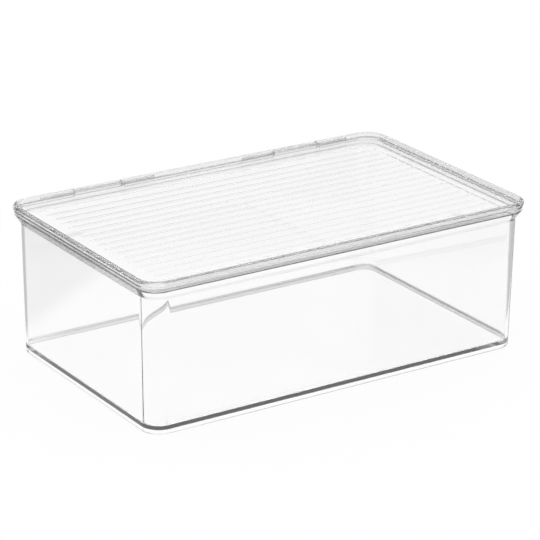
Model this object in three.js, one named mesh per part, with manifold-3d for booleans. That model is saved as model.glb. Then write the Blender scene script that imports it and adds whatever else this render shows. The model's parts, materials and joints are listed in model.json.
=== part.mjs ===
// Clear stackable storage box: a tray with drafted walls and a flared rim, a lid whose
// ribbed panel is sunk inside a round-edged rim, and two pins that hinge it at the rear.
// Millimetres, +Z up, front towards -Y, origin on the ground under the middle of the lid.
import * as THREE from "three";
import { mergeVertices } from "three/addons/utils/BufferGeometryUtils.js";
import Module from "manifold-3d";

const wasm = await Module();
wasm.setup();

// Driving sizes of the whole box
const lidLength = 340;
const lidWidth = 210;
const overallHeight = 118.8;
const lidCornerRadius = 17;
const leastCornerRadius = 1;

// Lid
const lidRimHeight = 4.4;
const lidRimWidth = 3.7;
const lidRimInnerRadius = 1.0;
const lidRimDraft = 0.3;
const panelDepth = 5.5;
const panelThickness = 2.0;
const panelFillet = 1.2;
const plugChamfer = 0.5;
const ribCount = 17;
const ribSideMargin = 15.8;
const ribEndMargin = 14;
const ribWidth = 1.5;
const ribHeight = 0.15;

// Tray
const endOverhang = 4.75;
const sideOverhang = 4.15;
const wallDraft = 1.45;
const wallCornerRadius = 16.4;
const wallThickness = 3.2;
const innerCornerRadius = 11.2;
const floorThickness = 2.8;
const innerFloorRadius = 1.5;
const footRecess = 3.0;
const footRingWidth = 3.2;
const footRadius = 1.2;
const trayRimSetback = 0.9;
const trayLipThickness = 1.7;
const trayLipHeight = 2.8;
const flareHeight = 6.9;

// Hinges
const hingeEndDistance = 79;
const knuckleLength = 41;
const knuckleFlatDrop = 0.8;
const pinLength = 100;
const pinDiameter = 1.4;
const slotMouth = 1.1;
const bossWall = 1.2;

// Fits
const lidGap = 0.3;
const plugGap = 0.4;
const pinGap = 0.2;
const pinEndGap = 0.3;
const knuckleSideGap = 0.5;
const knuckleSwingGap = 0.35;

// Fineness of the round stretches
const cornerSteps = 5;
const arcSteps = 3;
const roundSides = 20;
const joinDepth = 0.5;

// Worked-out levels
const lidBottom = overallHeight - lidRimHeight;
const panelTop = overallHeight - panelDepth;
const panelBottom = panelTop - panelThickness;
const trayTop = lidBottom - lidGap;
const flareTop = trayTop - trayLipHeight;
const wallTop = flareTop - flareHeight;
const floorTop = footRecess + floorThickness;
const knuckleTop = overallHeight - knuckleFlatDrop;

// Worked-out outlines
const lidOutline = { length: lidLength, width: lidWidth, radius: lidCornerRadius };
const rimOutline = shrink(lidOutline, trayRimSetback);
const wallOutline = {
  length: lidLength - 2 * endOverhang,
  width: lidWidth - 2 * sideOverhang,
  radius: wallCornerRadius,
};
const innerOutline = {
  length: wallOutline.length - 2 * wallThickness,
  width: wallOutline.width - 2 * wallThickness,
  radius: innerCornerRadius,
};
const footOutline = shrink(wallOutline, wallDraft);
const plugInset = trayRimSetback + trayLipThickness + plugGap;

// Worked-out hinge places: the lid's round edge turns about its own centre line.
const edgeRadius = lidRimHeight / 2;
const hingeY = lidWidth / 2 - edgeRadius;
const hingeZ = overallHeight - edgeRadius;
const boreRadius = pinDiameter / 2 + pinGap;
const notchLength = knuckleLength + 2 * knuckleSideGap;
const notchFront = hingeY - edgeRadius - knuckleSwingGap;
const slotLength = pinLength + 2 * pinEndGap;
const bossLength = notchLength + 2 * bossWall;
const hingeOffset = lidLength / 2 - hingeEndDistance;
const hingeCentres = [-hingeOffset, hingeOffset];

// A rounded rectangle drawn in from another by the same amount all round
function shrink(outline, inset) {
  return {
    length: outline.length - 2 * inset,
    width: outline.width - 2 * inset,
    radius: Math.max(outline.radius - inset, leastCornerRadius),
  };
}

// The points of a rounded rectangle, counter-clockwise, at one height
function ring(outline, height) {
  const { radius } = outline;
  const x = outline.length / 2 - radius;
  const y = outline.width / 2 - radius;
  const shape = new THREE.Shape();
  shape.absarc(x, y, radius, 0, Math.PI / 2);
  shape.absarc(-x, y, radius, Math.PI / 2, Math.PI);
  shape.absarc(-x, -y, radius, Math.PI, Math.PI * 1.5);
  shape.absarc(x, -y, radius, Math.PI * 1.5, Math.PI * 2);
  return shape.getPoints(cornerSteps).map((point) => new THREE.Vector3(point.x, point.y, height));
}

// A closed body through a stack of rings, with a flat end on the first and the last
function loft(rings) {
  const count = rings[0].length;
  const positions = rings.flat().flatMap((point) => [point.x, point.y, point.z]);
  const triangles = [];
  for (let level = 0; level + 1 < rings.length; level += 1) {
    const low = level * count;
    const high = low + count;
    for (let here = 0; here < count; here += 1) {
      const next = (here + 1) % count;
      triangles.push(low + here, low + next, high + next);
      triangles.push(low + here, high + next, high + here);
    }
  }
  const last = (rings.length - 1) * count;
  for (const [a, b, c] of THREE.ShapeUtils.triangulateShape(rings[0], [])) {
    triangles.push(a, c, b);
    triangles.push(last + a, last + b, last + c);
  }
  const geometry = new THREE.BufferGeometry();
  geometry.setAttribute("position", new THREE.Float32BufferAttribute(positions, 3));
  geometry.setIndex(triangles);
  return geometry;
}

// The rings of a section drawn as inset against height, swept round one outline
function sweep(section, outline) {
  return section.getPoints(arcSteps).map((point) => ring(shrink(outline, point.x), point.y));
}

// A closed solid ready for joining and cutting
function solid(geometry) {
  geometry.deleteAttribute("normal");
  geometry.deleteAttribute("uv");
  const merged = mergeVertices(geometry);
  const mesh = new wasm.Mesh({
    numProp: 3,
    vertProperties: new Float32Array(merged.attributes.position.array),
    triVerts: new Uint32Array(merged.index.array),
  });
  return new wasm.Manifold(mesh);
}

// The finished solid as a mesh with a name and a material
function namedMesh(name, body, material) {
  const { vertProperties, triVerts } = body.getMesh();
  const geometry = new THREE.BufferGeometry();
  geometry.setAttribute("position", new THREE.Float32BufferAttribute(vertProperties, 3));
  geometry.setIndex(Array.from(triVerts));
  geometry.computeVertexNormals();
  const mesh = new THREE.Mesh(geometry, material);
  mesh.name = name;
  return mesh;
}

// A box between two corners
function boxBetween(low, high) {
  const size = new THREE.Vector3().subVectors(high, low);
  const centre = new THREE.Vector3().addVectors(low, high).multiplyScalar(0.5);
  const geometry = new THREE.BoxGeometry(size.x, size.y, size.z);
  geometry.translate(centre.x, centre.y, centre.z);
  return solid(geometry);
}

// A section drawn as Y against Z, made long in X about a centre
function barAlongX(section, centre, length) {
  const settings = { depth: length, bevelEnabled: false, curveSegments: roundSides };
  const geometry = new THREE.ExtrudeGeometry(section, settings);
  const toXYZ = new THREE.Matrix4().makeBasis(
    new THREE.Vector3(0, 1, 0),
    new THREE.Vector3(0, 0, 1),
    new THREE.Vector3(1, 0, 0),
  );
  geometry.applyMatrix4(toXYZ);
  geometry.translate(centre - length / 2, 0, 0);
  return solid(geometry);
}

function circleAtHinge(radius) {
  const section = new THREE.Shape();
  section.absarc(hingeY, hingeZ, radius, 0, Math.PI * 2);
  return section;
}

// The tray's shell: recessed underside, foot ring, drafted wall, flare and upright lip outside,
// then back down inside
function trayShell() {
  const foot = new THREE.Path();
  foot.absarc(footRadius, footRadius, footRadius, -Math.PI / 2, -Math.PI, true);
  const recess = shrink(footOutline, footRingWidth);
  const floorEdge = new THREE.Path();
  floorEdge.absarc(
    innerFloorRadius, floorTop + innerFloorRadius, innerFloorRadius, Math.PI, Math.PI * 1.5,
  );
  return loft([
    ring(recess, footRecess),
    ring(recess, 0),
    ...sweep(foot, footOutline),
    ring(wallOutline, wallTop),
    ring(rimOutline, flareTop),
    ring(rimOutline, trayTop),
    ring(shrink(rimOutline, trayLipThickness), trayTop),
    ring(shrink(rimOutline, trayLipThickness), flareTop),
    ring(innerOutline, wallTop),
    ...sweep(floorEdge, shrink(innerOutline, wallDraft)),
  ]);
}

// The tray's half of a hinge: a barrel on a web over the lip. Its front is round so that the
// lid can turn past it, and the corner behind the flat on its top stops the open lid.
function trayKnuckle(centre) {
  const webFront = rimOutline.width / 2 - trayLipThickness;
  const webRear = rimOutline.width / 2;
  const webFoot = trayTop - joinDepth;
  const frontAngle = Math.PI + Math.acos((hingeY - webFront) / edgeRadius);
  const rearAngle = -Math.acos((webRear - hingeY) / edgeRadius);
  const flatAngle = Math.asin((knuckleTop - hingeZ) / edgeRadius);
  const section = new THREE.Shape();
  section.moveTo(webRear, webFoot);
  section.absarc(hingeY, hingeZ, edgeRadius, rearAngle, 0);
  section.lineTo(hingeY + edgeRadius, knuckleTop);
  section.absarc(hingeY, hingeZ, edgeRadius, Math.PI - flatAngle, frontAngle);
  section.lineTo(webFront, webFoot);
  section.closePath();
  return barAlongX(section, centre, knuckleLength);
}

function makeTray(material) {
  let body = solid(trayShell());
  for (const centre of hingeCentres) {
    body = body.add(trayKnuckle(centre));
    body = body.subtract(barAlongX(circleAtHinge(boreRadius), centre, notchLength));
  }
  return namedMesh("tray", body, material);
}

// The lid's shell: plug, round edge, rim and sunken panel
function lidShell() {
  const rimFoot = lidRimWidth + lidRimDraft;
  const section = new THREE.Path();
  section.moveTo(plugInset + plugChamfer, panelBottom);
  section.lineTo(plugInset, panelBottom + plugChamfer);
  section.lineTo(plugInset, lidBottom);
  section.absarc(edgeRadius, hingeZ, edgeRadius, -Math.PI / 2, -Math.PI * 1.5, true);
  section.absarc(
    lidRimWidth - lidRimInnerRadius, overallHeight - lidRimInnerRadius, lidRimInnerRadius,
    Math.PI / 2, 0, true,
  );
  section.absarc(
    rimFoot + panelFillet, panelTop + panelFillet, panelFillet, Math.PI, Math.PI * 1.5,
  );
  return loft(sweep(section, lidOutline));
}

// A low rib with round ends, lying on the panel
function rib(place) {
  const radius = ribWidth / 2;
  const halfLength = lidLength / 2 - lidRimWidth - ribEndMargin - radius;
  const outline = new THREE.Shape();
  outline.absarc(halfLength, place, radius, -Math.PI / 2, Math.PI / 2);
  outline.absarc(-halfLength, place, radius, Math.PI / 2, Math.PI * 1.5);
  outline.closePath();
  const settings = { depth: ribHeight + joinDepth, bevelEnabled: false, curveSegments: arcSteps };
  const geometry = new THREE.ExtrudeGeometry(outline, settings);
  geometry.translate(0, 0, panelTop - joinDepth);
  return solid(geometry);
}

// The lid's half of a hinge: a notch for the tray's knuckle, walled in on the panel's side,
// and a slot along the rim on each side of it that snaps down over the pin.
function lidHinge(body, centre) {
  const bossTop = overallHeight - lidRimInnerRadius;
  const boss = boxBetween(
    new THREE.Vector3(centre - bossLength / 2, notchFront - bossWall, panelBottom + joinDepth),
    new THREE.Vector3(centre + bossLength / 2, lidWidth / 2 - plugInset, bossTop),
  );
  const notch = boxBetween(
    new THREE.Vector3(centre - notchLength / 2, notchFront, lidBottom - knuckleSwingGap),
    new THREE.Vector3(centre + notchLength / 2, lidWidth, overallHeight + lidRimHeight),
  );
  const mouth = boxBetween(
    new THREE.Vector3(centre - slotLength / 2, hingeY - slotMouth / 2, lidBottom - joinDepth),
    new THREE.Vector3(centre + slotLength / 2, hingeY + slotMouth / 2, hingeZ),
  );
  const bore = barAlongX(circleAtHinge(boreRadius), centre, slotLength);
  return body.add(boss).subtract(notch).subtract(mouth).subtract(bore);
}

function makeLid(material) {
  let body = solid(lidShell());
  for (const centre of hingeCentres) {
    body = lidHinge(body, centre);
  }
  const ribSpan = lidWidth - 2 * (lidRimWidth + ribSideMargin);
  for (let index = 0; index < ribCount; index += 1) {
    body = body.add(rib(ribSpan * (index / (ribCount - 1) - 0.5)));
  }
  return namedMesh("lid", body, material);
}

function makePin(name, centre, material) {
  const body = barAlongX(circleAtHinge(pinDiameter / 2), centre, pinLength);
  return namedMesh(name, body, material);
}

const clearPlastic = new THREE.MeshStandardMaterial({
  color: 0xf1f3f3,
  roughness: 0.06,
  metalness: 0,
  transparent: true,
  opacity: 0.3,
});

const box = new THREE.Group();
box.add(makeTray(clearPlastic));
box.add(makeLid(clearPlastic.clone()));
box.add(makePin("hinge_pin_left", hingeCentres[0], clearPlastic.clone()));
box.add(makePin("hinge_pin_right", hingeCentres[1], clearPlastic.clone()));

export default box;
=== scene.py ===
"""Clear stackable storage box: its tray, its hinged lid and its hinge pins, as clear mouldings."""

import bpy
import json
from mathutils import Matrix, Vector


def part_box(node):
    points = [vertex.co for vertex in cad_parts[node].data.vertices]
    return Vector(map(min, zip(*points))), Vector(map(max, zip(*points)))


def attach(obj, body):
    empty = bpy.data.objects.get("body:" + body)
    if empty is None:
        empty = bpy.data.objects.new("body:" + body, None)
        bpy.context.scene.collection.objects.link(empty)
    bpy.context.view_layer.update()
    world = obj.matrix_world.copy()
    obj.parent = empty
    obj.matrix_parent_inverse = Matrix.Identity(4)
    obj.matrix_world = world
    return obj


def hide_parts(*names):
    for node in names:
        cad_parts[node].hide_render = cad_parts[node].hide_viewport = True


bl_info = {
    "name": "Stackable Storage Box",
    "version": (1, 0, 0),
    "blender": (4, 5, 0),
    "location": "View3D > Sidebar > Storage Box",
    "description": "Makes a clear stackable storage box with a hinged lid",
    "category": "Add Mesh",
}

import json
import math
from types import SimpleNamespace

import bmesh
import bpy
from mathutils import Matrix, Vector

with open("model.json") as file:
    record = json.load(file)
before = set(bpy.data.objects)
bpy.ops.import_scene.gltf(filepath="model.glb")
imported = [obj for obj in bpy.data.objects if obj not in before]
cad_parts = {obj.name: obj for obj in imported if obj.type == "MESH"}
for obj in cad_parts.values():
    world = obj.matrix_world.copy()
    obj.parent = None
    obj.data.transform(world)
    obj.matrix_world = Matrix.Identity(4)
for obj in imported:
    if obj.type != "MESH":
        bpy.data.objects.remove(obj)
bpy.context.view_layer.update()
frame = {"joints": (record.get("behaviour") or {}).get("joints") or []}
LID_LOW, LID_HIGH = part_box("lid")
PIN_NODES = ("hinge_pin_left", "hinge_pin_right")
HINGE_Y, HINGE_Z = frame["joints"][0]["pos_m"][1:]

# Fineness of the meshes
CORNER_STEPS = 24
FILLET_STEPS = 12
BAR_STEPS = 32
BEVEL_STEPS = 3
RIB_SIDES = 32
RIB_RINGS = 9
SHARP_ANGLE = math.radians(35)
MERGE_DISTANCE = 1e-6
JOIN_DEPTH = 0.0005

# Masks and marks of the plastic; the edge mask also places painted shade on the rounded edges
EDGE_MASK = "edge"
UNDER_MASK = "under"
FLARE_DEPTH = 0.007
FLARE_LOW = LID_LOW.z - FLARE_DEPTH
RIM_DEPTH = 0.0045
RIM_LOW = LID_HIGH.z - RIM_DEPTH
UNDER_LEAN = (0.85, 0.95)
UPRIGHT_LEAN = (0.05, 0.2)
LEVEL_LEAN = (0.38, 0.6)
STRIP_FADE = 0.006
PATCH_DETAIL = 4.0
HAZE_LOW = 0.4
HAZE_HIGH = 0.75
FLOW_DETAIL = 1.0


# Properties


def length(name, description, default):
    """A size in metres that a user may change."""
    return bpy.props.FloatProperty(
        name=name, description=description, default=default, min=0.0,
        subtype="DISTANCE", unit="LENGTH", precision=5,
    )


def number(name, description, default, top=1.0):
    """A plain number from nothing upwards."""
    return bpy.props.FloatProperty(
        name=name, description=description, default=default, min=0.0, max=top, precision=4,
    )


def tint(name, description, default):
    """A colour that a user may change."""
    return bpy.props.FloatVectorProperty(
        name=name, description=description, default=default, size=3, min=0.0, max=1.0,
        subtype="COLOR",
    )


def angle(name, description, degrees):
    """An angle, given in degrees and kept in radians."""
    return bpy.props.FloatProperty(
        name=name, description=description, default=math.radians(degrees),
        subtype="ANGLE", unit="ROTATION",
    )


class LidSizes(bpy.types.PropertyGroup):
    """Sizes of the lid"""

    length: length("Length", "Lid from end to end", LID_HIGH.x - LID_LOW.x)
    width: length("Width", "Lid from front to rear", LID_HIGH.y - LID_LOW.y)
    top: length("Top", "Height of the lid's rim above the ground", LID_HIGH.z)
    corner: length("Corner", "Radius of the lid's corners", 0.017)
    rim_height: length("Rim height", "Height of the rim's round outer edge", 0.0044)
    rim_width: length("Rim width", "Width of the rim at its top", 0.0037)
    rim_inner_radius: length("Rim inner radius", "Rounding of the rim's inner top edge", 0.001)
    rim_draft: length("Rim draft", "How much wider the rim is at its foot", 0.0003)
    panel_depth: length("Panel depth", "Panel below the rim's top", 0.0055)
    panel_thickness: length("Panel thickness", "Thickness of the panel", 0.002)
    panel_fillet: length("Panel fillet", "Rounding where the panel meets the rim", 0.0012)
    plug_edge: length("Plug edge", "Rounding of the plug's lower edge", 0.0005)
    plug_fillet: length("Plug fillet", "Rounding where the plug meets the rim", 0.0002)
    rib_width: length("Rib width", "Width of a rib on the panel", 0.0036)
    rib_height: length("Rib height", "Height of a rib on the panel", 0.000117)
    rib_end_margin: length("Rib end margin", "Panel left bare past a rib's ends", 0.014)
    rib_side_margin: length("Rib side margin", "Panel left bare past the outer ribs", 0.0158)
    rib_count: bpy.props.IntProperty(
        name="Ribs", description="Number of ribs on the panel", default=17, min=2,
    )


class TraySizes(bpy.types.PropertyGroup):
    """Sizes of the tray"""

    end_overhang: length("End overhang", "Lid past the wall at the two ends", 0.00475)
    side_overhang: length("Side overhang", "Lid past the wall at front and rear", 0.00415)
    wall_draft: length("Wall draft", "How much the wall leans in at its foot", 0.00145)
    corner: length("Corner", "Radius of the wall's corners at the top", 0.0164)
    inner_corner: length("Inner corner", "Radius of the wall's corners inside, at the top", 0.0124)
    wall_thickness: length("Wall thickness", "Thickness of the wall", 0.0032)
    floor_thickness: length("Floor thickness", "Thickness of the floor", 0.0028)
    floor_radius: length("Floor radius", "Rounding between the floor and the wall inside", 0.0015)
    foot_recess: length("Foot recess", "Height of the floor's underside above the ground", 0.003)
    foot_ring: length("Foot ring", "Width of the ring that the tray stands on", 0.0032)
    foot_radius: length("Foot radius", "Rounding of the bottom edge", 0.0012)
    recess_edge: length("Recess edge", "Rounding of the foot ring's inner edges", 0.0006)
    lip_setback: length("Lip setback", "Lip behind the lid's edge", 0.0009)
    lip_thickness: length("Lip thickness", "Thickness of the upright lip", 0.0017)
    lip_height: length("Lip height", "Height of the upright lip", 0.0028)
    lip_edge: length("Lip edge", "Rounding of the lip's top edges", 0.0004)
    flare_height: length("Flare height", "Height over which the wall flares out", 0.0069)
    flare_radius: length("Flare radius", "Rounding of the flare's bends", 0.002)
    ledge_drop: length("Ledge drop", "Ledge inside the rim below the lip's foot", 0.0004)


class HingeSizes(bpy.types.PropertyGroup):
    """Sizes of the hinges"""

    knuckle_length: length("Knuckle length", "Length of the tray's knuckle", 0.041)
    knuckle_edge: length("Knuckle edge", "Rounding of the knuckle's ends", 0.0003)
    flat_drop: length("Flat drop", "Flat on the knuckle's top below the lid's rim", 0.0008)
    slot_mouth: length("Slot mouth", "Width of the slot that snaps over the pin", 0.0011)
    boss_wall: length("Boss wall", "Wall round the lid's notch", 0.0012)
    pin_edge: length("Pin edge", "Rounding of the pin's ends", 0.0003)
    lid_gap: length("Lid gap", "Gap between the lid and the lip", 0.0003)
    plug_gap: length("Plug gap", "Gap between the plug and the lip", 0.0004)
    pin_gap: length("Pin gap", "Gap round the pin", 0.0002)
    pin_end_gap: length("Pin end gap", "Gap at the pin's ends", 0.0003)
    side_gap: length("Side gap", "Gap at the sides of a knuckle", 0.0005)
    swing_gap: length("Swing gap", "Gap that a knuckle needs to turn in its notch", 0.00035)


class PlasticFinish(bpy.types.PropertyGroup):
    """Look of the clear plastic"""

    clear: tint("Clear", "Tint of the clear plastic", (0.995, 0.995, 0.995))
    hazy: tint("Hazy", "Tint of the plastic's hazier patches", (0.985, 0.985, 0.985))
    # Painted shade: the edge tint darkens the rounded edges and the lid's whole rim, in place of the dark
    # lines that bent light draws there
    edge: tint("Edge", "Tint of the rounded edges", (0.92, 0.92, 0.92))
    edge_grain: number("Edge grain", "Roughness that the rounded edges add", 0.06)
    cover: number("Cover", "Share of light that the flat faces bend", 1.0)
    tray_edge_cover: number("Tray edge cover", "Share of light that the tray's rounded edges bend", 0.5)
    lid_edge_cover: number("Lid edge cover", "Share of light that the lid's rounded edges bend", 0.8)
    tray_under_cover: number("Tray under cover", "Share of light that the tray's bottom strip bends", 0.9)
    lid_under_cover: number("Lid under cover", "Share of light that the lid's underside strip bends", 0.6)
    strip: length("Strip", "How far in from the lid's outline the undersides' strip reaches", 0.026)
    depth_tint: tint("Depth tint", "Tint that the plastic takes on in its depth", (0.75, 0.755, 0.755))
    depth_density: number("Depth density", "How soon the depth tint sets in", 2.0, 100.0)
    refraction: number("Refraction", "Index of refraction of the plastic", 1.57, 3.0)
    polish: number("Polish", "Roughness of a polished patch", 0.0)
    scuff: number("Scuff", "Roughness of a scuffed patch", 0.02)
    patch_scale: number("Patch scale", "Patches of haze to the metre", 14.0, 1000.0)
    flow_scale: number("Flow scale", "Flow waves to the metre", 60.0, 1000.0)
    flow_height: length("Flow height", "Height of the moulding's faint flow waves", 0.00001)


class StageLook(bpy.types.PropertyGroup):
    """Look of the floor, the light and the camera"""

    floor_size: length("Floor size", "Side of the floor", 8.0)
    floor_drop: length("Floor drop", "Floor below the tray's foot", 0.0003)
    floor_tint: tint("Floor tint", "Colour of the floor", (1.0, 1.0, 1.0))
    floor_glow: number("Floor glow", "How much the floor shows plain white to the camera", 0.95)
    floor_seen: number("Floor seen", "How much the floor shows white through the plastic", 1.0)
    # Painted shade: the side patches darken the floor only as the plastic shows it
    side_shade: number("Side shade", "Brightness of the floor past the box's sides", 0.55)
    side_fan: angle("Side fan", "Angle at which the floor's shaded sides spread to the rear", 10.0)
    side_middle: length("Side middle", "Middle between the floor's shaded sides", 0.015)
    side_near: length("Side near", "Where the floor's sides begin to shade", 0.205)
    side_far: length("Side far", "Where the floor's sides are fully shaded", 0.225)
    side_fade: length("Side fade", "Where the shade of the floor's sides begins to fade", 0.42)
    side_end: length("Side end", "Where the floor's sides are white again", 0.5)
    rear_near: length("Rear near", "How far back the shade of the floor's sides begins", 0.0)
    rear_far: length("Rear far", "How far back the floor's sides are fully shaded", 0.03)
    rear_fade: length("Rear fade", "How far back the shade of the floor's sides begins to fade", 0.25)
    rear_end: length("Rear end", "How far back the floor's sides are white again", 0.32)
    # Painted contact shadow on the floor at the foot's far sides, shown only in the plastic
    contact_shade: number("Contact shade", "Brightness of the floor at the foot's far sides", 0.62)
    contact_near: length("Contact near", "How far past the foot's inner edge its shade is full", 0.0005)
    contact_fade: length("Contact fade", "How far past the foot's inner edge its shade fades", 0.009)
    contact_end: length("Contact end", "How far past the foot's inner edge its shade ends", 0.014)
    # Painted shade: the floor behind the box is darker only as the plastic shows it
    sweep_shade: number("Sweep shade", "Brightness of the floor behind the box", 0.95)
    sweep_near: length("Sweep near", "How far back the floor begins to darken", 0.16)
    sweep_far: length("Sweep far", "How far back the floor has darkened", 0.26)
    room: number("Room", "Brightness of the unlit room round the studio", 0.22)
    lit: number("Lit", "Brightness of the studio's backdrop and soft lamp", 0.95)
    back_rise: angle("Back rise", "Middle of the lit backdrop above the horizon", 18.0)
    back_inner: angle("Back inner", "Half width of the backdrop's even middle", 32.0)
    back_outer: angle("Back outer", "Half width at which the backdrop has faded", 50.0)
    lamp_heading: angle("Lamp heading", "Turn of the soft lamp from the rear towards the right", 110.0)
    lamp_rise: angle("Lamp rise", "Soft lamp above the horizon", 48.0)
    lamp_inner: angle("Lamp inner", "Half width of the soft lamp's even middle", 25.0)
    lamp_outer: angle("Lamp outer", "Half width at which the soft lamp has faded", 50.0)
    camera_place: bpy.props.FloatVectorProperty(
        name="Camera place", description="Where the camera stands",
        default=(-1.0509, -1.5917, 0.79), subtype="TRANSLATION", unit="LENGTH",
    )
    camera_heading: angle("Heading", "Turn of the camera from the rear towards the right", 33.456)
    camera_tilt: angle("Tilt", "How far the camera looks down", 20.863)
    camera_roll: angle("Roll", "Turn of the camera about its own line of sight", 0.602)
    camera_lens: bpy.props.FloatProperty(
        name="Lens", description="Focal length in millimetres", default=178.37, min=1.0,
    )


class StorageBox(bpy.types.PropertyGroup):
    """Everything that a user may change on the storage box"""

    lid: bpy.props.PointerProperty(type=LidSizes)
    tray: bpy.props.PointerProperty(type=TraySizes)
    hinge: bpy.props.PointerProperty(type=HingeSizes)
    plastic: bpy.props.PointerProperty(type=PlasticFinish)
    stage: bpy.props.PointerProperty(type=StageLook)


# Worked-out outlines and levels


def shrink(outline, inset):
    """A rounded rectangle (length, width, corner radius) drawn in by the same amount all round."""
    return Vector((outline[0] - 2 * inset, outline[1] - 2 * inset, outline[2] - inset))


def at(outline, height):
    """A station of a section: an outline at a height."""
    return Vector((outline[0], outline[1], outline[2], height))


def plan(box):
    """The levels and outlines that the tray and the lid share."""
    lid, tray, hinge = box.lid, box.tray, box.hinge
    p = SimpleNamespace()
    p.lid_bottom = lid.top - lid.rim_height
    p.panel_top = lid.top - lid.panel_depth
    p.panel_bottom = p.panel_top - lid.panel_thickness
    p.tray_top = p.lid_bottom - hinge.lid_gap
    p.flare_top = p.tray_top - tray.lip_height
    p.wall_top = p.flare_top - tray.flare_height
    p.lid = Vector((lid.length, lid.width, lid.corner))
    p.lip = shrink(p.lid, tray.lip_setback)
    p.lip_inner = shrink(p.lip, tray.lip_thickness)
    p.ledge = shrink(p.lip, tray.wall_thickness)
    p.ledge_top = p.flare_top - tray.ledge_drop
    p.plug = shrink(p.lip_inner, hinge.plug_gap)
    p.wall = Vector((lid.length - 2 * tray.end_overhang, lid.width - 2 * tray.side_overhang, tray.corner))
    thickness = Vector((tray.wall_thickness, tray.wall_thickness, 0))
    p.wall_inner = p.wall - 2 * thickness
    p.wall_inner.z = tray.inner_corner
    p.foot = shrink(p.wall, tray.wall_draft)
    p.foot_inner = shrink(p.wall_inner, tray.wall_draft)
    p.floor_top = tray.foot_recess + tray.floor_thickness
    p.knuckle_top = lid.top - hinge.flat_drop
    p.edge_radius = lid.rim_height / 2
    p.notch_length = hinge.knuckle_length + 2 * hinge.side_gap
    p.notch_front = HINGE_Y - p.edge_radius - hinge.swing_gap
    p.pins = [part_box(node) for node in PIN_NODES]
    p.pin_radius = (p.pins[0][1].z - p.pins[0][0].z) / 2
    p.pin_length = p.pins[0][1].x - p.pins[0][0].x
    p.bore_radius = p.pin_radius + hinge.pin_gap
    p.hinge_centres = [(low.x + high.x) / 2 for low, high in p.pins]
    return p


# Mesh helpers


def ring(station):
    """Points of a rounded rectangle at a height, counter-clockwise from above."""
    length_x, width_y, radius, height = station
    points = []
    for quarter, (side_x, side_y) in enumerate(((1, 1), (-1, 1), (-1, -1), (1, -1))):
        centre = Vector((side_x * (length_x / 2 - radius), side_y * (width_y / 2 - radius), height))
        for step in range(CORNER_STEPS + 1):
            turn = math.radians(90) * (quarter + step / CORNER_STEPS)
            points.append(centre + Vector((math.cos(turn), math.sin(turn), 0)) * radius)
    return points


def flat(side):
    """A section's side as (across, up), seen at the middle of the box's end."""
    return Vector((side[0] / 2, side[3]))


def rounded_section(corners):
    """The stations of a section with round corners, from (station, corner's rounding) pairs."""
    stations = [corners[0][0]]
    for (before, _), (corner, radius), (after, _) in zip(corners, corners[1:], corners[2:]):
        back = before - corner
        ahead = after - corner
        half = flat(back).angle(flat(ahead)) / 2
        back = back / flat(back).length
        ahead = ahead / flat(ahead).length
        sweep = math.pi - 2 * half
        tangent = radius / math.tan(half)
        centre = radius / math.sin(2 * half)
        for step in range(FILLET_STEPS + 1):
            turn = sweep * step / FILLET_STEPS
            near_back = math.sin(sweep - turn) / math.sin(sweep)
            near_ahead = math.sin(turn) / math.sin(sweep)
            along_back = centre + near_back * (tangent - centre) - near_ahead * centre
            along_ahead = centre + near_ahead * (tangent - centre) - near_back * centre
            stations.append(corner + along_back * back + along_ahead * ahead)
    stations.append(corners[-1][0])
    return stations


def mesh_object(name, shape):
    """A scene object from a bmesh, with doubles merged and faces pointing outwards."""
    bmesh.ops.remove_doubles(shape, verts=shape.verts, dist=MERGE_DISTANCE)
    bmesh.ops.recalc_face_normals(shape, faces=shape.faces)
    mesh = bpy.data.meshes.new(name)
    shape.to_mesh(mesh)
    shape.free()
    piece = bpy.data.objects.new(name, mesh)
    bpy.context.scene.collection.objects.link(piece)
    return piece


def lofted(name, stations):
    """A closed body through a stack of rings, with a flat end on the first and the last."""
    shape = bmesh.new()
    rings = [[shape.verts.new(point) for point in ring(station)] for station in stations]
    for low, high in zip(rings, rings[1:]):
        for here in range(len(low)):
            there = (here + 1) % len(low)
            shape.faces.new((low[here], low[there], high[there], high[here]))
    shape.faces.new(reversed(rings[0]))
    shape.faces.new(rings[-1])
    return mesh_object(name, shape)


def bar(name, section, centre, span, edge=0.0):
    """A bar along X from points (y, z), with its two ends' edges rounded."""
    shape = bmesh.new()
    ends = []
    for x in (centre - span / 2, centre + span / 2):
        ends.append([shape.verts.new((x, y, z)) for y, z in section])
    for here in range(len(section)):
        there = (here + 1) % len(section)
        shape.faces.new((ends[0][here], ends[0][there], ends[1][there], ends[1][here]))
    caps = [shape.faces.new(end) for end in ends]
    if edge:
        rims = [rim for cap in caps for rim in cap.edges]
        bmesh.ops.bevel(shape, geom=rims, offset=edge, segments=BEVEL_STEPS, profile=0.5, affect="EDGES")
    return mesh_object(name, shape)


def block(name, low, high):
    """A box between two corners."""
    section = ((low[1], low[2]), (high[1], low[2]), (high[1], high[2]), (low[1], high[2]))
    return bar(name, section, (low[0] + high[0]) / 2, high[0] - low[0])


def arc(radius, start, end):
    """Points (y, z) of an arc about the hinge's line."""
    turns = [start + (end - start) * step / BAR_STEPS for step in range(BAR_STEPS + 1)]
    return [(HINGE_Y + radius * math.cos(turn), HINGE_Z + radius * math.sin(turn)) for turn in turns]


def round_bar(name, radius, centre, span, edge=0.0):
    """A round bar along the hinge's line."""
    return bar(name, arc(radius, 0, 2 * math.pi)[:-1], centre, span, edge)


def bake(piece):
    """Turns what a piece's modifiers make into its plain mesh."""
    graph = bpy.context.evaluated_depsgraph_get()
    mesh = bpy.data.meshes.new_from_object(piece.evaluated_get(graph))
    rough = piece.data
    piece.modifiers.clear()
    piece.data = mesh
    bpy.data.meshes.remove(rough)


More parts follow.
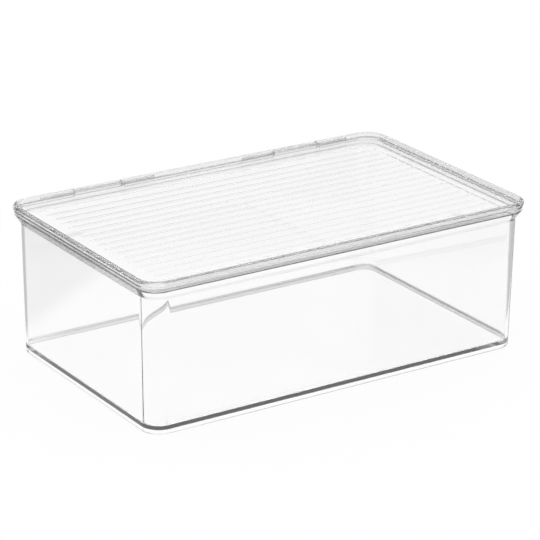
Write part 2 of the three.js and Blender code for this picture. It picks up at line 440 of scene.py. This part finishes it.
def combine(piece, tool, operation):
    """Joins a tool body to a piece or cuts it away."""
    modifier = piece.modifiers.new("combine", "BOOLEAN")
    modifier.operation = operation
    modifier.solver = "EXACT"
    modifier.object = tool
    bake(piece)
    mesh = tool.data
    bpy.data.objects.remove(tool)
    bpy.data.meshes.remove(mesh)


def rise_between(value, low, high):
    """How far a value has come from the low to the high mark, within 0 and 1."""
    return min(max((value - low) / (high - low), 0.0), 1.0)


def mark_edges(mesh):
    """Paints a mask of the rounded edges, neither upright nor level, and one of the undersides.

    The tray's flare leans but counts as flat, and the lid's whole rim counts as rounded. The edge mask
    also places the painted shade of the rounded edges.
    """
    edges = mesh.attributes.new(EDGE_MASK, "FLOAT", "FACE")
    unders = mesh.attributes.new(UNDER_MASK, "FLOAT", "FACE")
    for face, edge, under in zip(mesh.polygons, edges.data, unders.data):
        x, y, z = face.normal
        from_upright = rise_between(abs(z), *UPRIGHT_LEAN)
        from_level = rise_between(math.hypot(x, y), *LEVEL_LEAN)
        height = face.center.z
        edge.value = min(from_upright, from_level)
        if FLARE_LOW < height < LID_LOW.z:
            edge.value = 0.0
        if RIM_LOW < height:
            edge.value = 1.0
        under.value = rise_between(-z, *UNDER_LEAN)


def finish_piece(piece, material, body, node):
    """Gives a piece its smooth faces and its material, and ties it to the frame."""
    mesh = piece.data
    for face in mesh.polygons:
        face.use_smooth = True
    mesh.set_sharp_from_angle(angle=SHARP_ANGLE)
    modifier = piece.modifiers.new("even_normals", "WEIGHTED_NORMAL")
    modifier.keep_sharp = True
    bake(piece)
    piece.data.name = piece.name
    mark_edges(piece.data)
    piece.data.materials.clear()
    piece.data.materials.append(material)
    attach(piece, body)
    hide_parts(node)


# Node helpers


def link(tree, source, output, target, socket):
    """Joins a node's output to another node's input."""
    tree.links.new(source.outputs[output], target.inputs[socket])


def blended(tree, mask, first, second):
    """A colour that turns from the first to the second with a mask."""
    mix = tree.nodes.new("ShaderNodeMix")
    mix.data_type = "RGBA"
    tree.links.new(mask, mix.inputs["Factor"])
    tree.links.new(first, mix.inputs[6])
    tree.links.new(second, mix.inputs[7])
    return mix.outputs[2]


def faded(tree, mask, first, second):
    """A value that turns from the first to the second with a mask."""
    mix = tree.nodes.new("ShaderNodeMix")
    tree.links.new(mask, mix.inputs[0])
    tree.links.new(first, mix.inputs[2])
    tree.links.new(second, mix.inputs[3])
    return mix.outputs[0]


def worked_out(tree, operation, first, *others):
    """One value from several sockets or numbers, taken in turn, or from a single socket."""
    for other in others or (None,):
        step = tree.nodes.new("ShaderNodeMath")
        step.operation = operation
        tree.links.new(first, step.inputs[0])
        if isinstance(other, float):
            step.inputs[1].default_value = other
        elif other is not None:
            tree.links.new(other, step.inputs[1])
        first = step.outputs[0]
    return first


def soft_step(tree, value, empty, full):
    """A mask that turns smoothly from empty at one value to full at another, above or below it."""
    step = tree.nodes.new("ShaderNodeMapRange")
    step.interpolation_type = "SMOOTHSTEP"
    step.inputs["From Min"].default_value = empty
    step.inputs["From Max"].default_value = full
    tree.links.new(value, step.inputs["Value"])
    return step.outputs["Result"]


def dimmed(tree, mask, darkest):
    """White where the mask is empty, and the darkest value where it is full."""
    shade = tree.nodes.new("ShaderNodeMapRange")
    shade.inputs["To Min"].default_value = 1.0
    shade.inputs["To Max"].default_value = darkest
    tree.links.new(mask, shade.inputs["Value"])
    return shade.outputs["Result"]


def past_sides(tree, half_length, half_width):
    """How far a spot lies outside a level rectangle round the middle."""
    place = tree.nodes.new("ShaderNodeTexCoord")
    either = tree.nodes.new("ShaderNodeVectorMath")
    either.operation = "ABSOLUTE"
    tree.links.new(place.outputs["Object"], either.inputs[0])
    split = tree.nodes.new("ShaderNodeSeparateXYZ")
    tree.links.new(either.outputs["Vector"], split.inputs["Vector"])
    past_end = worked_out(tree, "SUBTRACT", split.outputs["X"], half_length)
    past_side = worked_out(tree, "SUBTRACT", split.outputs["Y"], half_width)
    return worked_out(tree, "MAXIMUM", past_end, past_side)


def through_plastic(tree, path):
    """A mask of the rays that come off the plastic's gloss or through it."""
    return worked_out(tree, "MAXIMUM", path.outputs["Is Glossy Ray"], path.outputs["Is Transmission Ray"])


# Materials


def mould_marks_and_edge_shade():
    """The tint with painted edge shade, roughness, cover and flow waves of a clear moulding, as one
    shared group.
    """
    name = "mould_marks_and_edge_shade"
    if name in bpy.data.node_groups:
        return bpy.data.node_groups[name]
    tree = bpy.data.node_groups.new(name, "ShaderNodeTree")
    for socket, kind in (
        ("Clear", "NodeSocketColor"), ("Hazy", "NodeSocketColor"), ("Edge", "NodeSocketColor"),
        ("Polish", "NodeSocketFloat"), ("Scuff", "NodeSocketFloat"),
        ("Edge Grain", "NodeSocketFloat"), ("Cover", "NodeSocketFloat"),
        ("Edge Cover", "NodeSocketFloat"), ("Under Cover", "NodeSocketFloat"),
        ("Middle Length", "NodeSocketFloat"), ("Middle Width", "NodeSocketFloat"),
        ("Patch Scale", "NodeSocketFloat"), ("Flow Scale", "NodeSocketFloat"),
    ):
        tree.interface.new_socket(socket, in_out="INPUT", socket_type=kind)
    for socket, kind in (
        ("Tint", "NodeSocketColor"), ("Roughness", "NodeSocketFloat"),
        ("Cover", "NodeSocketFloat"), ("Flow", "NodeSocketFloat"),
    ):
        tree.interface.new_socket(socket, in_out="OUTPUT", socket_type=kind)
    given = tree.nodes.new("NodeGroupInput")
    result = tree.nodes.new("NodeGroupOutput")
    place = tree.nodes.new("ShaderNodeTexCoord")
    patches = tree.nodes.new("ShaderNodeTexNoise")
    patches.inputs["Detail"].default_value = PATCH_DETAIL
    link(tree, place, "Object", patches, "Vector")
    link(tree, given, "Patch Scale", patches, "Scale")
    haze = tree.nodes.new("ShaderNodeMapRange")
    haze.inputs["From Min"].default_value = HAZE_LOW
    haze.inputs["From Max"].default_value = HAZE_HIGH
    link(tree, patches, "Fac", haze, "Value")
    edges = tree.nodes.new("ShaderNodeAttribute")
    edges.attribute_name = EDGE_MASK
    unders = tree.nodes.new("ShaderNodeAttribute")
    unders.attribute_name = UNDER_MASK
    flats = blended(tree, haze.outputs["Result"], given.outputs["Clear"], given.outputs["Hazy"])
    # Painted shade: the rounded edges, and the lid's whole rim, take the darker edge tint
    colour = blended(tree, edges.outputs["Fac"], flats, given.outputs["Edge"])
    tree.links.new(colour, result.inputs["Tint"])
    polish = tree.nodes.new("ShaderNodeMapRange")
    link(tree, haze, "Result", polish, "Value")
    link(tree, given, "Polish", polish, "To Min")
    link(tree, given, "Scuff", polish, "To Max")
    grain = worked_out(tree, "MULTIPLY", edges.outputs["Fac"], given.outputs["Edge Grain"])
    roughness = worked_out(tree, "ADD", grain, polish.outputs["Result"])
    tree.links.new(roughness, result.inputs["Roughness"])
    cover = faded(tree, edges.outputs["Fac"], given.outputs["Cover"], given.outputs["Edge Cover"])
    past = past_sides(tree, given.outputs["Middle Length"], given.outputs["Middle Width"])
    border = soft_step(tree, past, 0.0, STRIP_FADE)
    strip = worked_out(tree, "MULTIPLY", unders.outputs["Fac"], border)
    cover = faded(tree, strip, cover, given.outputs["Under Cover"])
    tree.links.new(cover, result.inputs["Cover"])
    flow = tree.nodes.new("ShaderNodeTexNoise")
    flow.inputs["Detail"].default_value = FLOW_DETAIL
    link(tree, place, "Object", flow, "Vector")
    link(tree, given, "Flow Scale", flow, "Scale")
    link(tree, flow, "Fac", result, "Flow")
    return tree


def clear_plastic(name, finish, edge_cover, under_cover):
    """A clear, colourless, polished plastic with the marks of its mould and painted shade along its
    rounded edges.
    """
    material = bpy.data.materials.new(name)
    material.use_nodes = True
    tree = material.node_tree
    shader = tree.nodes["Principled BSDF"]
    shader.inputs["Metallic"].default_value = 0.0
    shader.inputs["Transmission Weight"].default_value = 1.0
    shader.inputs["IOR"].default_value = finish.refraction
    # The group's tint carries the painted edge shade as well as the random haze
    marks = tree.nodes.new("ShaderNodeGroup")
    marks.node_tree = mould_marks_and_edge_shade()
    settings = {
        "Clear": (*finish.clear, 1.0),
        "Hazy": (*finish.hazy, 1.0),
        "Edge": (*finish.edge, 1.0),
        "Polish": finish.polish,
        "Scuff": finish.scuff,
        "Edge Grain": finish.edge_grain,
        "Cover": finish.cover,
        "Edge Cover": edge_cover,
        "Under Cover": under_cover,
        "Middle Length": LID_HIGH.x - finish.strip,
        "Middle Width": LID_HIGH.y - finish.strip,
        "Patch Scale": finish.patch_scale,
        "Flow Scale": finish.flow_scale,
    }
    for socket, value in settings.items():
        marks.inputs[socket].default_value = value
    link(tree, marks, "Tint", shader, "Base Color")
    link(tree, marks, "Roughness", shader, "Roughness")
    link(tree, marks, "Cover", shader, "Alpha")
    bump = tree.nodes.new("ShaderNodeBump")
    bump.inputs["Distance"].default_value = finish.flow_height
    link(tree, marks, "Flow", bump, "Height")
    link(tree, bump, "Normal", shader, "Normal")
    depth = tree.nodes.new("ShaderNodeVolumeAbsorption")
    depth.inputs["Color"].default_value = (*finish.depth_tint, 1.0)
    depth.inputs["Density"].default_value = finish.depth_density
    link(tree, depth, "Volume", tree.nodes["Material Output"], "Volume")
    return material


def floor_distance(tree, direction):
    """How far a spot of the floor lies along a direction."""
    place = tree.nodes.new("ShaderNodeTexCoord")
    distance = tree.nodes.new("ShaderNodeVectorMath")
    distance.operation = "DOT_PRODUCT"
    distance.inputs[1].default_value = direction
    tree.links.new(place.outputs["Object"], distance.inputs[0])
    return distance.outputs["Value"]


def floor_light(tree, path, stage, recess):
    """The floor's white, with painted shade that only the plastic shows: patches past the box's sides, a
    painted contact shadow by the foot's far sides, and a darker rear.

    The diagonal runs from the box's middle towards its front right corner.
    """
    diagonal = Vector((LID_HIGH.x, LID_LOW.y, 0)).normalized()
    across = floor_distance(tree, diagonal)
    beyond = floor_distance(tree, (-diagonal.y, diagonal.x, 0))
    shifted = worked_out(tree, "SUBTRACT", across, stage.side_middle)
    distance = worked_out(tree, "ABSOLUTE", shifted)
    spread = worked_out(tree, "MULTIPLY", beyond, math.tan(stage.side_fan))
    fanned = worked_out(tree, "SUBTRACT", distance, spread)
    # Painted shade on the floor past the box's sides, towards the rear
    behind = soft_step(tree, beyond, stage.rear_near, stage.rear_far)
    sides = worked_out(
        tree, "MULTIPLY", behind, soft_step(tree, fanned, stage.side_near, stage.side_far),
        soft_step(tree, fanned, stage.side_end, stage.side_fade),
        soft_step(tree, beyond, stage.rear_end, stage.rear_fade),
    )
    # Painted contact shadow: the floor darkens just past the foot ring's inner edge on the far sides
    past = past_sides(tree, recess[0] / 2, recess[1] / 2)
    contact = worked_out(
        tree, "MULTIPLY", behind, soft_step(tree, past, 0.0, stage.contact_near),
        soft_step(tree, past, stage.contact_end, stage.contact_fade),
    )
    sweep = soft_step(tree, beyond, stage.sweep_near, stage.sweep_far)
    # Painted shade: the floor's white is dimmed by the side patches, the painted contact shadow and the
    # darker rear, for the plastic's rays only
    white = worked_out(
        tree, "MINIMUM", dimmed(tree, sides, stage.side_shade),
        dimmed(tree, contact, stage.contact_shade), dimmed(tree, sweep, stage.sweep_shade),
    )
    return worked_out(tree, "MAXIMUM", white, path.outputs["Is Camera Ray"])


def floor_material(stage, recess):
    """A plain pale floor that shows white to the camera and keeps a faint shadow, with painted shade that
    shows only in the plastic.
    """
    material = bpy.data.materials.new("pale_floor")
    material.use_nodes = True
    tree = material.node_tree
    shader = tree.nodes["Principled BSDF"]
    shader.inputs["Base Color"].default_value = (*stage.floor_tint, 1.0)
    shader.inputs["Roughness"].default_value = 1.0
    shader.inputs["Specular IOR Level"].default_value = 0.0
    path = tree.nodes.new("ShaderNodeLightPath")
    shown = worked_out(tree, "MULTIPLY", path.outputs["Is Camera Ray"], stage.floor_glow)
    seen = worked_out(tree, "MULTIPLY", through_plastic(tree, path), stage.floor_seen)
    glow = tree.nodes.new("ShaderNodeEmission")
    tree.links.new(floor_light(tree, path, stage, recess), glow.inputs["Color"])
    mix = tree.nodes.new("ShaderNodeMixShader")
    tree.links.new(worked_out(tree, "ADD", shown, seen), mix.inputs["Fac"])
    tree.links.new(shader.outputs[0], mix.inputs[1])
    tree.links.new(glow.outputs[0], mix.inputs[2])
    link(tree, mix, "Shader", tree.nodes["Material Output"], "Surface")
    return material


# Studio light


def soft_patch(tree, heading, rise, inner, outer):
    """A mask of a soft round patch in the sky, even inside and faded out at its outer width."""
    place = tree.nodes.new("ShaderNodeTexCoord")
    towards = tree.nodes.new("ShaderNodeVectorMath")
    towards.operation = "DOT_PRODUCT"
    level = Vector((math.sin(heading), math.cos(heading), 0))
    towards.inputs[1].default_value = level * math.cos(rise) + Vector((0, 0, math.sin(rise)))
    tree.links.new(place.outputs["Generated"], towards.inputs[0])
    return soft_step(tree, towards.outputs["Value"], math.cos(outer), math.cos(inner))


# Ribs


def panel_ribs():
    """Geometry Nodes that join a row of low round ribs to the panel."""
    tree = bpy.data.node_groups.new("panel_ribs", "GeometryNodeTree")
    for socket, kind in (
        ("Geometry", "NodeSocketGeometry"), ("Rib Count", "NodeSocketInt"),
        ("Rib Spacing", "NodeSocketFloat"), ("Rib Reach", "NodeSocketFloat"),
        ("Rib Radius", "NodeSocketFloat"), ("Rib Flatness", "NodeSocketFloat"),
        ("Rib Height", "NodeSocketFloat"), ("Material", "NodeSocketMaterial"),
    ):
        tree.interface.new_socket(socket, in_out="INPUT", socket_type=kind)
    tree.interface.new_socket("Geometry", in_out="OUTPUT", socket_type="NodeSocketGeometry")
    given = tree.nodes.new("NodeGroupInput")
    result = tree.nodes.new("NodeGroupOutput")

    # One rib is a ball that is laid down, flattened and pulled out to the rib's length
    ball = tree.nodes.new("GeometryNodeMeshUVSphere")
    ball.inputs["Segments"].default_value = RIB_SIDES
    ball.inputs["Rings"].default_value = RIB_RINGS
    link(tree, given, "Rib Radius", ball, "Radius")
    flatten = tree.nodes.new("ShaderNodeCombineXYZ")
    flatten.inputs["Y"].default_value = 1.0
    flatten.inputs["Z"].default_value = 1.0
    link(tree, given, "Rib Flatness", flatten, "X")
    lay = tree.nodes.new("GeometryNodeTransform")
    lay.inputs["Rotation"].default_value = (0, math.radians(90), 0)
    link(tree, ball, "Mesh", lay, "Geometry")
    link(tree, flatten, "Vector", lay, "Scale")
    place = tree.nodes.new("GeometryNodeInputPosition")
    split = tree.nodes.new("ShaderNodeSeparateXYZ")
    link(tree, place, "Position", split, "Vector")
    side = worked_out(tree, "SIGN", split.outputs["X"])
    shift = worked_out(tree, "MULTIPLY", side, given.outputs["Rib Reach"])
    offset = tree.nodes.new("ShaderNodeCombineXYZ")
    tree.links.new(shift, offset.inputs["X"])
    stretch = tree.nodes.new("GeometryNodeSetPosition")
    link(tree, lay, "Geometry", stretch, "Geometry")
    link(tree, offset, "Vector", stretch, "Offset")

    # The ribs stand on a row of points, half of it before the panel's middle
    gaps = worked_out(tree, "SUBTRACT", given.outputs["Rib Count"], 1.0)
    first = worked_out(tree, "MULTIPLY", gaps, -0.5, given.outputs["Rib Spacing"])
    start = tree.nodes.new("ShaderNodeCombineXYZ")
    tree.links.new(first, start.inputs["Y"])
    link(tree, given, "Rib Height", start, "Z")
    step = tree.nodes.new("ShaderNodeCombineXYZ")
    link(tree, given, "Rib Spacing", step, "Y")
    row = tree.nodes.new("GeometryNodeMeshLine")
    link(tree, given, "Rib Count", row, "Count")
    link(tree, start, "Vector", row, "Start Location")
    link(tree, step, "Vector", row, "Offset")
    ribs = tree.nodes.new("GeometryNodeInstanceOnPoints")
    link(tree, row, "Mesh", ribs, "Points")
    link(tree, stretch, "Geometry", ribs, "Instance")
    solid = tree.nodes.new("GeometryNodeRealizeInstances")
    link(tree, ribs, "Instances", solid, "Geometry")

    # The ribs and the lid become one body
    union = tree.nodes.new("GeometryNodeMeshBoolean")
    union.operation = "UNION"
    union.solver = "MANIFOLD"
    link(tree, given, "Geometry", union, "Mesh 2")
    link(tree, solid, "Geometry", union, "Mesh 2")
    coat = tree.nodes.new("GeometryNodeSetMaterial")
    link(tree, union, "Mesh", coat, "Geometry")
    link(tree, given, "Material", coat, "Material")
    link(tree, coat, "Geometry", result, "Geometry")
    return tree


# Operators


class STORAGEBOX_OT_stage(bpy.types.Operator):
    """Make the floor, the light and the camera"""

    bl_idname = "storage_box.stage"
    bl_label = "Make Stage"

    def execute(self, context):
        box = context.scene.storage_box
        stage = box.stage
        context.scene.view_settings.view_transform = "Standard"
        self.make_floor(stage, shrink(plan(box).foot, box.tray.foot_ring))
        self.make_light(context, stage)
        self.make_camera(context, stage)
        return {"FINISHED"}

    def make_floor(self, stage, recess):
        shape = bmesh.new()
        bmesh.ops.create_grid(shape, x_segments=1, y_segments=1, size=stage.floor_size / 2)
        bmesh.ops.translate(shape, verts=shape.verts, vec=(0, 0, -stage.floor_drop))
        floor = mesh_object("floor", shape)
        floor.data.materials.append(floor_material(stage, recess))

    def make_light(self, context, stage):
        world = bpy.data.worlds.new("soft_studio")
        context.scene.world = world
        world.use_nodes = True
        tree = world.node_tree
        backdrop = soft_patch(
            tree, stage.camera_heading, stage.back_rise, stage.back_inner, stage.back_outer,
        )
        lamp = soft_patch(
            tree, stage.lamp_heading, stage.lamp_rise, stage.lamp_inner, stage.lamp_outer,
        )
        level = tree.nodes.new("ShaderNodeMapRange")
        level.inputs["To Min"].default_value = stage.room
        level.inputs["To Max"].default_value = stage.lit
        tree.links.new(worked_out(tree, "MAXIMUM", backdrop, lamp), level.inputs["Value"])
        studio = tree.nodes.new("ShaderNodeBackground")
        link(tree, level, "Result", studio, "Color")
        plain = tree.nodes["Background"]
        plain.inputs["Color"].default_value = (1.0, 1.0, 1.0, 1.0)
        path = tree.nodes.new("ShaderNodeLightPath")
        mix = tree.nodes.new("ShaderNodeMixShader")
        tree.links.new(through_plastic(tree, path), mix.inputs["Fac"])
        tree.links.new(plain.outputs[0], mix.inputs[1])
        tree.links.new(studio.outputs[0], mix.inputs[2])
        link(tree, mix, "Shader", tree.nodes["World Output"], "Surface")

    def make_camera(self, context, stage):
        lens = bpy.data.cameras.new("photo_camera")
        lens.lens = stage.camera_lens
        camera = bpy.data.objects.new("photo_camera", lens)
        context.scene.collection.objects.link(camera)
        heading = Matrix.Rotation(-stage.camera_heading, 4, "Z")
        tilt = Matrix.Rotation(math.pi / 2 - stage.camera_tilt, 4, "X")
        roll = Matrix.Rotation(stage.camera_roll, 4, "Z")
        camera.matrix_world = Matrix.Translation(stage.camera_place) @ heading @ tilt @ roll
        context.scene.camera = camera


class STORAGEBOX_OT_tray(bpy.types.Operator):
    """Make the clear tray with its flared rim and its two hinge knuckles"""

    bl_idname = "storage_box.tray"
    bl_label = "Make Tray"

    def execute(self, context):
        box = context.scene.storage_box
        p = plan(box)
        tray = lofted("clear_tray", self.section(box.tray, p))
        for centre in p.hinge_centres:
            combine(tray, self.knuckle(box, p, centre), "UNION")
            bore = round_bar("bore", p.bore_radius, centre, p.notch_length)
            combine(tray, bore, "DIFFERENCE")
        finish = box.plastic
        covers = (finish.tray_edge_cover, finish.tray_under_cover)
        material = clear_plastic("tray_clear_plastic", finish, *covers)
        finish_piece(tray, material, "tray", "tray")
        return {"FINISHED"}

    def section(self, tray, p):
        inside = 2 * tray.floor_radius
        recess = shrink(p.foot, tray.foot_ring)
        return rounded_section((
            (at(shrink(recess, inside), tray.foot_recess), 0),
            (at(recess, tray.foot_recess), tray.recess_edge),
            (at(recess, 0), tray.recess_edge),
            (at(p.foot, 0), tray.foot_radius),
            (at(p.wall, p.wall_top), tray.flare_radius),
            (at(p.lip, p.flare_top), tray.flare_radius),
            (at(p.lip, p.tray_top), tray.lip_edge),
            (at(p.lip_inner, p.tray_top), tray.lip_edge),
            (at(p.lip_inner, p.ledge_top), tray.lip_edge),
            (at(p.ledge, p.ledge_top), tray.lip_edge),
            (at(p.wall_inner, p.wall_top), tray.flare_radius),
            (at(p.foot_inner, p.floor_top), tray.floor_radius),
            (at(shrink(p.foot_inner, inside), p.floor_top), 0),
        ))

    def knuckle(self, box, p, centre):
        web_front = p.lip_inner[1] / 2
        web_rear = p.lip[1] / 2
        web_foot = p.tray_top - JOIN_DEPTH
        front = math.pi + math.acos((HINGE_Y - web_front) / p.edge_radius)
        rear = -math.acos((web_rear - HINGE_Y) / p.edge_radius)
        flat_turn = math.asin((p.knuckle_top - HINGE_Z) / p.edge_radius)
        section = [(web_rear, web_foot)]
        section += arc(p.edge_radius, rear, 0)
        section += [(HINGE_Y + p.edge_radius, p.knuckle_top)]
        section += arc(p.edge_radius, math.pi - flat_turn, front)
        section += [(web_front, web_foot)]
        return bar("knuckle", section, centre, box.hinge.knuckle_length, box.hinge.knuckle_edge)


class STORAGEBOX_OT_lid(bpy.types.Operator):
    """Make the clear lid with its sunken ribbed panel and its two hinge notches"""

    bl_idname = "storage_box.lid"
    bl_label = "Make Lid"

    def execute(self, context):
        box = context.scene.storage_box
        p = plan(box)
        lid = lofted("clear_lid", self.section(box.lid, p))
        for centre in p.hinge_centres:
            self.cut_hinge(lid, box, p, centre)
        finish = box.plastic
        covers = (finish.lid_edge_cover, finish.lid_under_cover)
        material = clear_plastic("lid_clear_plastic", finish, *covers)
        self.add_ribs(lid, box.lid, p, material)
        finish_piece(lid, material, "lid", "lid")
        return {"FINISHED"}

    def section(self, lid, p):
        rim = shrink(p.lid, lid.rim_width)
        rim_foot = shrink(rim, lid.rim_draft)
        inside = 2 * lid.panel_fillet
        return rounded_section((
            (at(shrink(p.plug, inside), p.panel_bottom), 0),
            (at(p.plug, p.panel_bottom), lid.plug_edge),
            (at(p.plug, p.lid_bottom), lid.plug_fillet),
            (at(p.lid, p.lid_bottom), p.edge_radius),
            (at(p.lid, lid.top), p.edge_radius),
            (at(rim, lid.top), lid.rim_inner_radius),
            (at(rim_foot, p.panel_top), lid.panel_fillet),
            (at(shrink(rim_foot, inside), p.panel_top), 0),
        ))

    def cut_hinge(self, piece, box, p, centre):
        lid, hinge = box.lid, box.hinge
        half_notch = p.notch_length / 2
        half_boss = half_notch + hinge.boss_wall
        half_slot = p.pin_length / 2 + hinge.pin_end_gap
        half_mouth = hinge.slot_mouth / 2
        boss = block(
            "boss",
            (centre - half_boss, p.notch_front - hinge.boss_wall, p.panel_bottom + JOIN_DEPTH),
            (centre + half_boss, p.plug[1] / 2, lid.top - lid.rim_inner_radius),
        )
        notch = block(
            "notch",
            (centre - half_notch, p.notch_front, p.lid_bottom - hinge.swing_gap),
            (centre + half_notch, lid.width, lid.top + lid.rim_height),
        )
        mouth = block(
            "mouth",
            (centre - half_slot, HINGE_Y - half_mouth, p.lid_bottom - JOIN_DEPTH),
            (centre + half_slot, HINGE_Y + half_mouth, HINGE_Z),
        )
        bore = round_bar("bore", p.bore_radius, centre, 2 * half_slot)
        combine(piece, boss, "UNION")
        combine(piece, notch, "DIFFERENCE")
        combine(piece, mouth, "DIFFERENCE")
        combine(piece, bore, "DIFFERENCE")

    def add_ribs(self, piece, lid, p, material):
        half_width = lid.rib_width / 2
        half_height = JOIN_DEPTH + lid.rib_height
        radius = half_width / math.sqrt(1 - (JOIN_DEPTH / half_height) ** 2)
        reach = lid.length / 2 - lid.rim_width - lid.rib_end_margin
        span = lid.width - 2 * (lid.rim_width + lid.rib_side_margin)
        values = {
            "Rib Count": lid.rib_count,
            "Rib Spacing": span / (lid.rib_count - 1),
            "Rib Reach": reach - half_width,
            "Rib Radius": radius,
            "Rib Flatness": half_height / radius,
            "Rib Height": p.panel_top - JOIN_DEPTH,
            "Material": material,
        }
        tree = panel_ribs()
        modifier = piece.modifiers.new("panel_ribs", "NODES")
        modifier.node_group = tree
        for item in tree.interface.items_tree:
            if item.name in values:
                modifier[item.identifier] = values[item.name]
        bake(piece)


class STORAGEBOX_OT_pins(bpy.types.Operator):
    """Make the two hinge pins"""

    bl_idname = "storage_box.pins"
    bl_label = "Make Hinge Pins"

    def execute(self, context):
        box = context.scene.storage_box
        p = plan(box)
        finish = box.plastic
        covers = (finish.lid_edge_cover, finish.tray_under_cover)
        material = clear_plastic("pin_clear_plastic", finish, *covers)
        for node, centre in zip(PIN_NODES, p.hinge_centres):
            pin = round_bar("clear_" + node, p.pin_radius, centre, p.pin_length, box.hinge.pin_edge)
            finish_piece(pin, material, "tray", node)
        return {"FINISHED"}


class STORAGEBOX_PT_panel(bpy.types.Panel):
    """Lists the storage box's pieces and sizes"""

    bl_idname = "STORAGEBOX_PT_panel"
    bl_label = "Storage Box"
    bl_space_type = "VIEW_3D"
    bl_region_type = "UI"
    bl_category = "Storage Box"

    def draw(self, context):
        box = context.scene.storage_box
        for group in (box.tray, box.lid, box.hinge, box.plastic, box.stage):
            column = self.layout.box().column()
            for name in group.bl_rna.properties.keys():
                if name not in ("name", "rna_type"):
                    column.prop(group, name)
        for operator in OPERATORS:
            self.layout.operator(operator.bl_idname)


GROUPS = (LidSizes, TraySizes, HingeSizes, PlasticFinish, StageLook, StorageBox)
OPERATORS = (STORAGEBOX_OT_stage, STORAGEBOX_OT_tray, STORAGEBOX_OT_lid, STORAGEBOX_OT_pins)
CLASSES = (*GROUPS, *OPERATORS, STORAGEBOX_PT_panel)


def register():
    for item in CLASSES:
        bpy.utils.register_class(item)
    bpy.types.Scene.storage_box = bpy.props.PointerProperty(type=StorageBox)


def unregister():
    del bpy.types.Scene.storage_box
    for item in reversed(CLASSES):
        bpy.utils.unregister_class(item)


def main():
    register()
    bpy.ops.storage_box.stage()
    bpy.ops.storage_box.tray()
    bpy.ops.storage_box.lid()
    bpy.ops.storage_box.pins()


if __name__ == "__main__":
    main()
